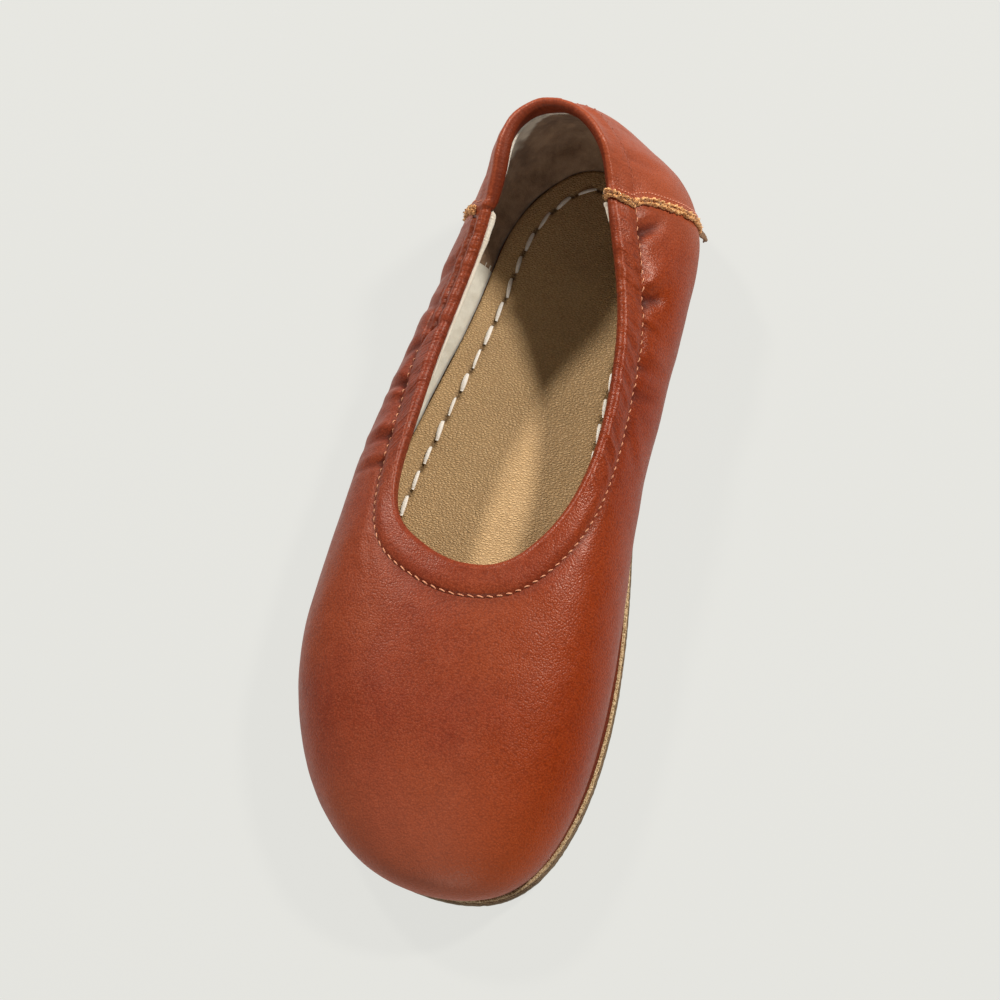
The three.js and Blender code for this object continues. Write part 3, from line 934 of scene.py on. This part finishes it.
def collar_hem():
    """The folded hem, from its stitched valley over the rim and down the inside to its raw edge."""
    around = even_places(1260)[:, None]
    flat = around[:, 0]
    level = np.concatenate([[0.995], np.linspace(1.0, 1.24, 12), np.linspace(1.27, 2.0, 24)])[None]
    relief = leather_relief(around, level)
    outer = wall.point(around, level, HALF_WALL + relief)
    turn = np.radians(np.arange(15, 180, 15))[None, :, None]
    half_turn = smoothstep(turn, 0, math.pi)
    fold = inner_fold(around)
    radius = HALF_WALL + relief[:, -1:, None] * (1 - half_turn) + fold[..., None] * half_turn
    way = np.cos(turn) * wall.normal(flat, 2.0)[:, None] + np.sin(turn) * wall.climb(flat, 2.0)[:, None]
    rim = wall.point(flat, 2.0)[:, None] + radius * way
    back_level = np.array([2.0, 1.85, 1.7, 1.55, 1.4, 1.28, 1.18, 1.10])[None]
    inner = wall.point(around, back_level, -HALF_WALL - fold - 0.5 * gather_relief(around, back_level))
    hidden = wall.point(around, np.array([[1.07, 1.1]]), -0.3 * MM)
    points = np.concatenate([outer, rim, inner, hidden], 1)
    tone = np.full(points.shape[:2], 0.62)
    tone[:, :level.size] = fold_tone(around, level)
    # Painted shade on the inside of the heel piece's hem.
    tone[:, level.size + 5:] -= 0.22 * (1 - front_share(around))
    every_level = np.concatenate([level[0], np.linspace(2.04, 2.4, turn.size),
                                  2.4 + (2 - back_level[0]), [2, 2]])
    leather_piece("collar_hem", around, every_level[None], points, tone)


def lining_shell(name, material, first, last, steps, top, over_fold, edge_tone=0.0, lit_rib=0.0):
    """A lining on the wall's inner face. Its foot turns in to meet the insole, and its pale cut top edge
    widens near one rib into a painted patch of lamp light."""
    around = np.linspace(first, last, steps)[:, None]
    level = np.linspace(0.02, top, 30)[None]
    middle = wall.point(around, level)
    foot = (SOCK_INSET - UPPER_INSET - HALF_WALL) * (1 - smoothstep(level, 0.06, 0.3))
    stand = smoothstep(level, 0.6, 0.95) * over_fold * inner_fold(around) + foot
    soft = 0.14 * MM * lumps(middle, 9 * MM, 22)
    face = wall.point(around, level, -(HALF_WALL + 0.2 * MM + stand) + soft)
    back = wall.point(around, level, -(HALF_WALL - 0.2 * MM + 0.6 * stand))
    points = np.concatenate([face, back[:, ::-1]], 1)
    rows, columns = points.shape[:2]
    faces = [face[::-1] for face in grid_faces(rows, columns, close_columns=True)]
    faces += [list(range(columns)), list(range(rows * columns - 1, (rows - 1) * columns - 1, -1))]
    # Near lit_rib the pale band widens into a painted patch of lamp light below the top edge.
    band = 0.05 + 0.58 * bell(rib_distance(around, lit_rib), 0.8)
    fray = 0.03 * lumps(middle, 2.5 * MM, 23)
    painted_tone = smoothstep(level + fray, top - band, top - 0.75 * band)
    tone = edge_tone * np.concatenate([painted_tone, np.ones_like(painted_tone)], 1)
    mesh_piece(name, points, faces, material, "upper_leather", tone=tone)


def lining_roll(name, first, last, thick):
    """The gathered edge of the pale lining, a soft roll beside the rim that thins towards its end."""
    share = np.linspace(0, 1, 520)
    around = first + (last - first) * share
    full = 1 - 0.4 * smoothstep(share, 0.05, 0.35) - 0.45 * smoothstep(share, 0.35, 1.0)
    taper = smoothstep(share, 0, 0.03) * full + 0.02
    along = hem_length(around)
    ribs = pleats(along, 1.2 * MM, 2.2, 5 * MM, 31)
    ribs *= 0.5 + 0.5 * wobble(along / (3 * MM), 33)
    size = thick * taper * (1 + 0.05 * ribs + 0.14 * wobble(along / (6 * MM), 34))
    inward = -edge_outward(around)
    centre = wall.point(around, 2.0) + inward * (HALF_WALL + HEM_PUFF + 0.25 * size)[:, None]
    centre[:, 2] -= 1.4 * MM
    heap = Heap()
    heap.add_tube(tube_rings(centre, inward, UP, size, 20, 1.4))
    heap.piece(name, CREAM_LINING, "upper_leather")


def lining_fuzz():
    """Short pale fibres along the cut top of the heel lining."""
    heap = Heap()
    for _ in range(LINING_FIBRES):
        around = np.array(rng.choice([rng.uniform(-2.6, 1.95), rng.uniform(-2.6, -0.6)]))
        out = -(HALF_WALL + 0.3 * MM + inner_fold(around) * rng.uniform(0.6, 1.05))
        root = wall.point(around, rng.uniform(0.98, 1.12), out)
        lean = unit(wall.climb(around, 1.1) * 0.9 + rng.normal(size=3) * 0.6)
        heap.add_tube(hair_rings(root, lean, rng.uniform(0.3, 0.8) * MM, 0.07 * MM))
    heap.piece("lining_fuzz", PALE_LINING, "upper_leather")


def hem_level(rib, rise):
    """The level that lies a few tenths of a millimetre above or below the hem's stitches."""
    return 1 + rise / np.where(rise > 0, HEM_WIDTH, wall.body_height(rib))


def hem_stitches():
    """Small stitches in the hem's valley. The lateral fold behind rib 14 covers its own."""
    heap = Heap()
    whole = hem_line.length[-1]
    count = int(whole / HEM_STITCH_PITCH)
    for number in range(count):
        middle = (number + 0.5) * whole / count
        rib, _ = hem_line.at(middle)
        near_seam = any(abs(seam_distance(seam, rib, 1.0)) < 2.6 * MM for seam in SEAMS.values())
        if near_seam or tucked_share(rib) > 0.15:
            continue
        heel = front_share(rib) < 0.5
        half = (0.45 if heel else 0.88 - 0.34 * smoothstep(rib, 10.5, 12.5)) * MM
        slant = np.array([-1, 1]) * rng.uniform(0.10, 0.26) * MM
        ribs = hem_line.at(np.array([middle - half, middle + half]))[0]
        ends = face_point(ribs, hem_level(ribs, slant), -0.12 * MM)
        radius = (0.16 if heel else 0.22) * MM * rng.uniform(0.9, 1.1)
        rings = stitch_rings(*ends, wall.normal(rib, 1.0), radius, 0.34 * MM)
        heap.add_tube(rings, 0.2 if heel else rng.uniform(0.7, 1.0))
    heap.piece("hem_stitches", HEM_THREAD, "upper_leather")


# The side seams

def seam_stitches(name, seam):
    """A row of small stitches through the turned allowance."""
    heap = Heap()
    level = np.linspace(SEAM_FOOT, SEAM_TOP, 240)
    line = Line(seam_rib(seam, level), level)
    for number in range(1, int(line.length[-1] / SEAM_STITCH_PITCH)):
        ribs, levels = line.at(number * SEAM_STITCH_PITCH + np.array([-0.27, 0.27]) * MM)
        ribs = beside_seam(seam, ribs, levels, SEAM_ALLOWANCE)
        ends = face_point(ribs, levels, -0.08 * MM)
        rings = stitch_rings(*ends, wall.normal(ribs[0], levels[0]), 0.2 * MM, 0.26 * MM)
        heap.add_tube(rings, rng.uniform(0.5, 1.0))
    heap.piece(name, SEAM_THREAD, "upper_leather")


def seam_places(seam, offset, lift, over_rim):
    """Points along a seam, and the ways sideways and up there. It may go on over the rim."""
    level = np.linspace(SEAM_FOOT, 2.0 if over_rim else 1.62, 260)
    rib = seam_rib(seam, level)
    rib = beside_seam(seam, rib, level, offset(level))
    up = wall.normal(rib, level)
    path = wall.point(rib, level, HALF_WALL + hem_relief(rib, level) + lift)
    if over_rim:
        turn = np.radians(np.linspace(8, 165, 40))[:, None]
        rim_up = np.cos(turn) * wall.normal(rib[-1], 2.0) + np.sin(turn) * wall.climb(rib[-1], 2.0)
        rim = wall.point(rib[-1], 2.0) + rim_up * (HALF_WALL + HEM_PUFF + lift)
        path, up = np.concatenate([path, rim]), np.concatenate([up, rim_up])
    return path, unit(np.cross(unit(np.gradient(path, axis=0)), up)), up


def raw_strand(heap, seam, offset, lift, size, seed, over_rim, tone):
    """One cut leather edge, as a thin ruffled fin."""
    def sway(level):
        return (offset + 0.28 * wobble(level * 16, seed) + 0.14 * wobble(level * 48, seed + 10)) * MM
    path, side, up = seam_places(seam, sway, lift * MM, over_rim)
    share = np.linspace(0, 1, len(path))
    ends = between(share, 0, 0.02, 0.94, 1.0) + 0.05
    thick = size * MM * (1 + 0.25 * wobble(share * 60, seed + 20))
    rings = tube_rings(path, side, up, thick * ends, 14, 1.7)
    rough = 1 + 0.34 * lumps(rings, 0.7 * MM, seed + 30) + 0.22 * lumps(rings, 0.32 * MM, seed + 40)
    heap.add_tube(path[:, None] + (rings - path[:, None]) * rough[..., None], tone)


def raw_seam(name, seam, node, over_rim):
    """The two frayed cut edges that stand up side by side along a side seam, and a sunken strand between
    them that paints the shade of the gap.
    """
    heap = Heap()
    raw_strand(heap, seam, -0.65, 0.25, 0.42, 41, over_rim, 0.45)
    raw_strand(heap, seam, 0.62, 0.35, 0.42, 42, over_rim, 0.6)
    # A sunken middle strand of low tone, painted dark as the shade between the two edges.
    raw_strand(heap, seam, 0.0, -0.15, 0.5, 43, over_rim, 0.1)
    path, side, up = seam_places(seam, np.zeros_like, 0.3 * MM, over_rim)
    for _ in range(SEAM_FIBRES):
        k = rng.integers(len(path))
        root = path[k] + side[k] * rng.uniform(-1.0, 1.0) * MM + up[k] * rng.uniform(-0.1, 0.5) * MM
        lean = unit(up[k] + rng.normal(size=3) * 0.8)
        hair = hair_rings(root, lean, rng.uniform(0.3, 0.75) * MM, 0.07 * MM)
        heap.add_tube(hair, rng.uniform(0.3, 0.9))
    heap.piece(name, RAW_EDGE, "raw_edge", (node,))


def seam_tag(seam):
    """The scrap of allowance that curls out at the medial seam's lower end."""
    heap = Heap()
    level = 0.27
    rib = seam_rib(seam, level)
    up = wall.normal(rib, level)
    down = -wall.climb(rib, level)
    share = np.linspace(0, 1, 16)
    curl = up * (0.5 + 3.0 * np.sin(share[:, None] * 1.9)) * MM
    for offset, length, thick in ((0.5, 6.6, 1.0), (-0.7, 4.6, 0.8)):
        root = wall.point(beside_seam(seam, rib, level, offset * MM), level, HALF_WALL)
        path = root + down * share[:, None] * length * MM + curl
        along = unit(np.gradient(path, axis=0))
        side = unit(np.cross(along, up))
        width = thick * MM * (1 - 0.7 * smoothstep(share, 0.7, 1.0))
        rings = tube_rings(path, side, np.cross(side, along), width, 12, 0.6)
        rings += 0.12 * MM * np.stack([lumps(rings, 0.9 * MM, 70 + axis) for axis in range(3)], -1)
        heap.add_tube(rings)
    heap.piece("seam_tag", TAG, "raw_edge")


# The sole

def outline_sides(inset, stations):
    """The outline as pairs of points at the same distance along the shoe, closer at both ends."""
    border = outline(inset)
    toe, heel = border[:, 1].argmin(), border[:, 1].argmax()
    turned = np.roll(border, -heel, 0)
    toe = (toe - heel) % len(border)
    inner, outer = turned[:toe + 1][::-1], np.concatenate([turned[toe:], turned[:1]])
    share = (1 - np.cos(np.linspace(0, math.pi, stations))) / 2
    y = turned[toe, 1] + share * (turned[0, 1] - turned[toe, 1])
    return [np.stack([np.interp(y, side[:, 1], side[:, 0]), y], -1) for side in (inner, outer)]


def plate_ring(inset, height, stations):
    """One closed ring of a flat layer: toe, inner side, heel, outer side."""
    inner, outer = outline_sides(inset, stations)
    flat = np.concatenate([inner, outer[-2:0:-1]])
    return np.concatenate([flat, (height + spring_height(flat[:, 1]))[:, None]], 1)


def plate_cap(stations, first, faces_up):
    """A lid across one ring, in steps that each lie at one distance along the shoe."""
    size = 2 * stations - 2
    faces = []
    for k in range(stations - 1):
        corners = [k, k + 1, size - k - 1, (size - k) % size]
        face = [first + corner for corner in dict.fromkeys(corners)]
        faces.append(face if faces_up else face[::-1])
    return faces


def plate(name, layers, stations, material, slot, node, rough):
    """A layer of the sole, from its lowest ring to its highest, with its cut edge a little uneven. Each
    ring has its inset, its height and how much of the unevenness it takes."""
    rings = np.stack([plate_ring(inset, height, stations) for inset, height, _ in layers])
    fray = np.array([share for _, _, share in layers])[:, None]
    outward = unit(np.roll(rings, -1, 1) - np.roll(rings, 1, 1))
    outward = np.stack([outward[..., 1], -outward[..., 0], 0 * outward[..., 0]], -1)
    bumps = lumps(rings, 1.1 * MM, 51) + 0.6 * lumps(rings, 0.5 * MM, 52)
    rings -= outward * (rough * fray * bumps)[..., None]
    size = rings.shape[1]
    faces = grid_faces(len(layers), size, close_columns=True)
    faces += plate_cap(stations, 0, False) + plate_cap(stations, (len(layers) - 1) * size, True)
    base, top = layers[0][1], layers[-1][1]
    layer = np.repeat([(height - base) / (top - base) for _, height, _ in layers], size)
    mesh_piece(name, rings, faces, material, slot, (node,), layer=layer)


def midsole_leather():
    base, top = MIDSOLE_BASE, MIDSOLE_TOP
    groove = base + 0.52 * MIDSOLE_THICK
    plate("midsole_leather", [
        (0.6 * MM, base, 0.0), (0.0, base + 0.15 * MM, 1.0), (-0.1 * MM, base + 0.6 * MM, 1.0),
        (-0.1 * MM, groove - 0.35 * MM, 1.0), (0.12 * MM, groove - 0.15 * MM, 0.5),
        (0.3 * MM, groove, 0.2), (0.1 * MM, groove + 0.15 * MM, 0.5), (0.0, groove + 0.35 * MM, 1.0),
        (0.0, top - 0.5 * MM, 1.0), (0.12 * MM, top - 0.15 * MM, 1.0), (0.4 * MM, top, 0.6),
        (1.2 * MM, top, 1.0), (2.4 * MM, top, 0.0),
    ], 420, SOLE_LEATHER, "sole_leather", "midsole", 0.05 * MM)


def outsole_rubber():
    plate("outsole_rubber", [
        (0.6 * MM, 0.0, 0.0), (0.05 * MM, 0.25 * MM, 0.5), (-0.15 * MM, 0.8 * MM, 1.0),
        (-0.15 * MM, OUTSOLE_THICK - 0.3 * MM, 1.0), (0.1 * MM, OUTSOLE_THICK, 0.0),
    ], 300, SOLE_RUBBER, "sole_rubber", "outsole", 0.03 * MM)


def midsole_fuzz():
    """Loose fibres along the midsole's cut edge."""
    heap = Heap()
    for _ in range(MIDSOLE_FIBRES):
        around = np.array(rng.uniform(0, RIB_COUNT))
        height = rng.uniform(MIDSOLE_BASE + 1.4 * MM, MIDSOLE_TOP)
        root = edge_inset(around, 0.1 * MM, height)
        lean = unit(edge_outward(around) + rng.normal(size=3) * 0.8)
        heap.add_tube(hair_rings(root, lean, rng.uniform(0.2, 0.45) * MM, 0.05 * MM), 1.0)
    heap.piece("midsole_fuzz", SOLE_FIBRE, "sole_leather")


# The insole

def sock_line():
    """Points of the line that the insole's saddle stitches follow."""
    ribs = np.linspace(0, RIB_COUNT, 2400)
    return edge_inset(ribs, SOCK_INSET + SOCK_STITCH_INSET + 1.8 * MM * bell(ribs - 5, 1.6), INSOLE_TOP)


SOCK_POINTS = sock_line()
SOCK_LENGTH = running_length(SOCK_POINTS)
SOCK_COUNT = int(SOCK_LENGTH[-1] / SOCK_STITCH_PITCH)
SOCK_STEP = SOCK_LENGTH[-1] / SOCK_COUNT


def nearest(points, places):
    """For each place on the flat, the number of the point nearest to it and how far off that is."""
    tree = KDTree(len(points))
    for number, point in enumerate(points):
        tree.insert((point[0], point[1], 0), number)
    tree.balance()
    found = [tree.find((x, y, 0)) for x, y in places.reshape(-1, 2)]
    return [np.array([hit[part] for hit in found]).reshape(places.shape[:-1]) for part in (1, 2)]


def insole_sock():
    """The insole's leather, with a rounded edge and small pits where the thread dives in."""
    stations, columns = 420, 130
    inner, outer = outline_sides(SOCK_INSET, stations)
    share = (1 - np.cos(np.linspace(0, math.pi, columns))) / 2
    share = (0.6 * share + 0.4 * np.linspace(0, 1, columns))[None, :, None]
    flat = inner[:, None] * (1 - share) + outer[:, None] * share
    _, from_edge = nearest(outline(SOCK_INSET), flat)
    number, from_line = nearest(SOCK_POINTS, flat)
    phase = np.abs(np.mod(SOCK_LENGTH[number], SOCK_STEP) - SOCK_STEP / 2) - SOCK_STITCH_LENGTH / 2
    pit = bell(from_line, 0.75 * MM) * bell(phase - 0.5 * MM, 0.8 * MM)
    channel = bell(from_line, 1.6 * MM)
    rounding = 0.35 * MM * (1 - smoothstep(from_edge, 0, 1.0 * MM))
    spring = spring_height(flat[..., 1])
    height = INSOLE_TOP + spring - rounding - 0.75 * MM * pit - 0.18 * MM * channel
    spots = np.concatenate([flat, height[..., None]], 2)
    height += 0.1 * MM * lumps(spots, 14 * MM, 61) * smoothstep(from_edge, 0, 4 * MM)
    points = np.stack([np.concatenate([flat, z[..., None]], 2) for z in (height, INSOLE_BASE + spring)])
    half = stations * columns
    faces = grid_faces(stations, columns)
    faces += [[half + corner for corner in face[::-1]] for face in faces]
    for column in (0, columns - 1):
        for k in range(stations - 1):
            a, b = k * columns + column, (k + 1) * columns + column
            side = [a, b, half + b, half + a]
            faces.append(side if column == 0 else side[::-1])
    # Painted shade in the stitch pits, along the stitch channel and at the edge beside the wall.
    tone = 1 - 0.95 * pit - 0.12 * channel - 0.12 * (1 - smoothstep(from_edge, 0, 1.2 * MM))
    tone = np.stack([np.clip(tone, 0, 1), np.ones_like(tone)])
    mesh_piece("insole_sock", points, faces, SOCK, "sock_leather", ("insole",), tone=tone)


def sock_stitches():
    """Thick white saddle stitches round the insole."""
    heap = Heap()
    for number in range(SOCK_COUNT):
        middle = (number + 0.5) * SOCK_STEP
        half = SOCK_STITCH_LENGTH / 2 * rng.uniform(0.92, 1.06)
        ends = np.stack([np.interp([middle - half, middle + half], SOCK_LENGTH, axis)
                         for axis in SOCK_POINTS.T], -1)
        slant = unit(np.cross(ends[1] - ends[0], UP)) * rng.uniform(0.2, 0.6) * MM
        ends += np.array([[1], [-1]]) * slant
        radius = (0.68 + 0.14 * wobble(number * 0.7, 62)) * MM
        rings = stitch_rings(*ends, UP, radius, 0.55 * MM, 10, 15, 0.62, 0.42 * MM)
        heap.add_tube(rings, 1.0)
    heap.piece("sock_stitches", SOCK_THREAD, "sock_leather")


# The set, the camera and the light

def look_at(thing, place, aim, up):
    """Puts a camera or lamp at a place, looking at aim, with its top towards up."""
    place, aim, up = Vector(place), Vector(aim), Vector(up)
    back = (place - aim).normalized()
    right = up.cross(back).normalized()
    turn = Matrix((right, back.cross(right), back)).transposed()
    thing.matrix_world = Matrix.Translation(place) @ turn.to_4x4()


def add_camera():
    data = bpy.data.cameras.new("camera")
    data.lens = CAMERA_LENS
    data.clip_start = 0.01
    camera = add_object("camera", data)
    look_at(camera, CAMERA_PLACE, CAMERA_AIM, CAMERA_UP)
    bpy.context.scene.camera = camera


def add_floor():
    mesh = bpy.data.meshes.new("floor")
    corners = [(x * FLOOR_REACH, y * FLOOR_REACH, 0) for x, y in ((-1, -1), (1, -1), (1, 1), (-1, 1))]
    mesh.from_pydata(corners, [], [(0, 1, 2, 3)])
    paper = Finish("floor_paper", 0.95, 0.0)
    paper.fill(paper.shader, {"Emission Color": (1.0, 1.0, 0.955, 1), "Emission Strength": 0.715})
    cloud = paper.noise(0.4, 2, 0.5)
    mesh.materials.append(paper.finish(paper.mix(cloud, linear(64, 64, 62), linear(67, 67, 65))))
    add_object("floor", mesh)


def add_light():
    world = bpy.data.worlds.new("studio")
    world.use_nodes = True
    sky = world.node_tree.nodes["Background"]
    sky.inputs["Color"].default_value = (1.0, 0.99, 0.97, 1)
    sky.inputs["Strength"].default_value = 0.12
    bpy.context.scene.world = world
    for name, (place, size, power, colour) in LAMPS.items():
        data = bpy.data.lights.new(name, "AREA")
        data.shape = "DISK"
        data.size = size
        data.energy = power
        data.color = colour
        look_at(add_object(name, data), place, LAMP_AIM, LAMP_UP)
    bpy.context.scene.view_settings.view_transform = "Standard"


add_camera()
add_floor()
add_light()
upper_body()
collar_hem()
lining_shell("heel_lining", HEEL_SUEDE, 15.30 - RIB_COUNT, 2.02, 300, top=1.12, over_fold=1.1,
             edge_tone=0.85, lit_rib=16.3)
lining_shell("front_lining", PALE_LINING, 2.0, 15.35, 640, top=1.6, over_fold=1.35)
lining_fuzz()
lining_roll("lining_roll_lateral", 15.37, 13.5, 1.05 * MM)
lining_roll("lining_roll_medial", 2.06, 2.25, 0.9 * MM)
hem_stitches()
for side_name, side_seam in SEAMS.items():
    raw_seam("raw_seam_" + side_name, side_seam, "seam_edge_" + side_name, side_name == "medial")
    seam_stitches("seam_stitches_" + side_name, side_seam)
seam_tag(SEAMS["medial"])
midsole_leather()
outsole_rubber()
midsole_fuzz()
insole_sock()
sock_stitches()
